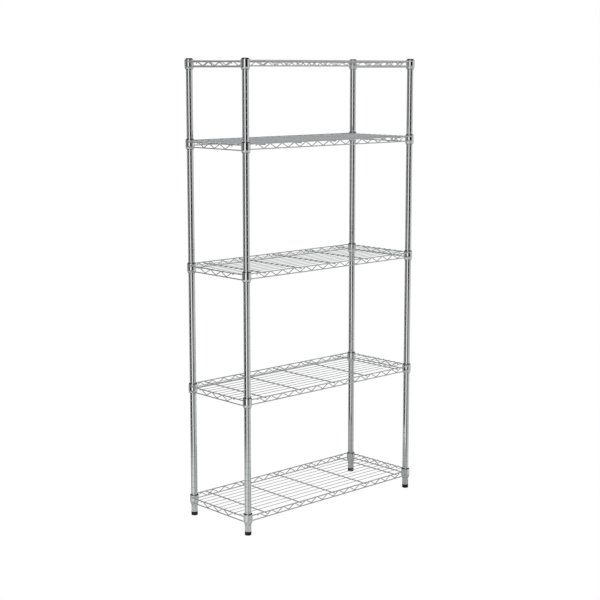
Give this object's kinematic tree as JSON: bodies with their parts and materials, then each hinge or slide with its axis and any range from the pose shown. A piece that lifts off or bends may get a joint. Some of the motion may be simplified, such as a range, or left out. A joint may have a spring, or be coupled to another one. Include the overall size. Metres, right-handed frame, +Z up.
{
  "type": "wire shelving rack",
  "caption": "Tall open wire shelving rack: grooved round posts carry welded chrome wire shelves on tapered collars, over screw-in levelling feet",
  "frame": {"origin": "middle of the footprint of the four foot pads, on the floor", "axes": "+X along the long side of the shelves, +Y from the front rails to the back rails, +Z up the posts"},
  "size_m": [0.9284, 0.372, 1.816],
  "materials": {
    "chrome": "polished",
    "black_plastic": "satin",
    "zinc": "zinc plated",
    "nylon": "satin"
  },
  "bodies": {
    "frame": {"post_lower_front_left": "chrome", "post_lower_front_right": "chrome", "post_lower_back_left": "chrome", "post_lower_back_right": "chrome", "post_upper_front_left": "chrome", "post_upper_front_right": "chrome", "post_upper_back_left": "chrome", "post_upper_back_right": "chrome", "joint_bushes": "nylon", "joint_studs": "zinc", "top_caps": "black_plastic", "foot_bushes": "nylon", "sleeves_shelf1_left": "black_plastic", "sleeves_shelf2_left": "black_plastic", "sleeves_shelf3_left": "black_plastic", "sleeves_shelf4_left": "black_plastic", "sleeves_shelf5_left": "black_plastic", "sleeves_shelf1_right": "black_plastic", "sleeves_shelf2_right": "black_plastic", "sleeves_shelf3_right": "black_plastic", "sleeves_shelf4_right": "black_plastic", "sleeves_shelf5_right": "black_plastic"},
    "shelf1": {"shelf1_collars": "chrome", "shelf1_upper_rails": "chrome", "shelf1_lower_rails": "chrome", "shelf1_zigzags": "chrome", "shelf1_cross_rods": "chrome", "shelf1_deck_wires": "chrome"},
    "shelf2": {"shelf2_collars": "chrome", "shelf2_upper_rails": "chrome", "shelf2_lower_rails": "chrome", "shelf2_zigzags": "chrome", "shelf2_cross_rods": "chrome", "shelf2_deck_wires": "chrome"},
    "shelf3": {"shelf3_collars": "chrome", "shelf3_upper_rails": "chrome", "shelf3_lower_rails": "chrome", "shelf3_zigzags": "chrome", "shelf3_cross_rods": "chrome", "shelf3_deck_wires": "chrome"},
    "shelf4": {"shelf4_collars": "chrome", "shelf4_upper_rails": "chrome", "shelf4_lower_rails": "chrome", "shelf4_zigzags": "chrome", "shelf4_cross_rods": "chrome", "shelf4_deck_wires": "chrome"},
    "shelf5": {"shelf5_collars": "chrome", "shelf5_upper_rails": "chrome", "shelf5_lower_rails": "chrome", "shelf5_zigzags": "chrome", "shelf5_cross_rods": "chrome", "shelf5_deck_wires": "chrome"},
    "foot_stud_body_front_left": {"foot_stud_front_left": "zinc"},
    "foot_pad_body_front_left": {"foot_pad_front_left": "black_plastic"},
    "foot_stud_body_front_right": {"foot_stud_front_right": "zinc"},
    "foot_pad_body_front_right": {"foot_pad_front_right": "black_plastic"},
    "foot_stud_body_back_left": {"foot_stud_back_left": "zinc"},
    "foot_pad_body_back_left": {"foot_pad_back_left": "black_plastic"},
    "foot_stud_body_back_right": {"foot_stud_back_right": "zinc"},
    "foot_pad_body_back_right": {"foot_pad_back_right": "black_plastic"}
  },
  "joints": [
    {"name": "shelf1_lift", "type": "slide", "parent": "frame", "child": "shelf1", "axis": [0, 0, 1], "range_m": [0, 0.416]},
    {"name": "shelf2_lift", "type": "slide", "parent": "frame", "child": "shelf2", "axis": [0, 0, 1], "range_m": [0, 0.441]},
    {"name": "shelf3_lift", "type": "slide", "parent": "frame", "child": "shelf3", "axis": [0, 0, 1], "range_m": [0, 0.441]},
    {"name": "shelf4_lift", "type": "slide", "parent": "frame", "child": "shelf4", "axis": [0, 0, 1], "range_m": [0, 0.263]},
    {"name": "shelf5_lift", "type": "slide", "parent": "frame", "child": "shelf5", "axis": [0, 0, 1], "range_m": [0, 0.06]},
    {"name": "foot_travel_front_left", "type": "slide", "parent": "frame", "child": "foot_stud_body_front_left", "axis": [0, 0, -1], "range_m": [0, 0.012]},
    {"name": "foot_turn_front_left", "type": "hinge", "parent": "foot_stud_body_front_left", "child": "foot_pad_body_front_left", "pos_m": [-0.445, -0.165, 0], "axis": [0, 0, -1], "range_deg": [0, 3420]},
    {"name": "foot_travel_front_right", "type": "slide", "parent": "frame", "child": "foot_stud_body_front_right", "axis": [0, 0, -1], "range_m": [0, 0.012]},
    {"name": "foot_turn_front_right", "type": "hinge", "parent": "foot_stud_body_front_right", "child": "foot_pad_body_front_right", "pos_m": [0.445, -0.165, 0], "axis": [0, 0, -1], "range_deg": [0, 3420]},
    {"name": "foot_travel_back_left", "type": "slide", "parent": "frame", "child": "foot_stud_body_back_left", "axis": [0, 0, -1], "range_m": [0, 0.012]},
    {"name": "foot_turn_back_left", "type": "hinge", "parent": "foot_stud_body_back_left", "child": "foot_pad_body_back_left", "pos_m": [-0.445, 0.165, 0], "axis": [0, 0, -1], "range_deg": [0, 3420]},
    {"name": "foot_travel_back_right", "type": "slide", "parent": "frame", "child": "foot_stud_body_back_right", "axis": [0, 0, -1], "range_m": [0, 0.012]},
    {"name": "foot_turn_back_right", "type": "hinge", "parent": "foot_stud_body_back_right", "child": "foot_pad_body_back_right", "pos_m": [0.445, 0.165, 0], "axis": [0, 0, -1], "range_deg": [0, 3420]}
  ],
  "couplings": [
    {"joint": "foot_travel_front_left", "follows": "foot_turn_front_left", "m_per_rad": 0.00019894},
    {"joint": "foot_travel_front_right", "follows": "foot_turn_front_right", "m_per_rad": 0.00019894},
    {"joint": "foot_travel_back_left", "follows": "foot_turn_back_left", "m_per_rad": 0.00019894},
    {"joint": "foot_travel_back_right", "follows": "foot_turn_back_right", "m_per_rad": 0.00019894}
  ]
}
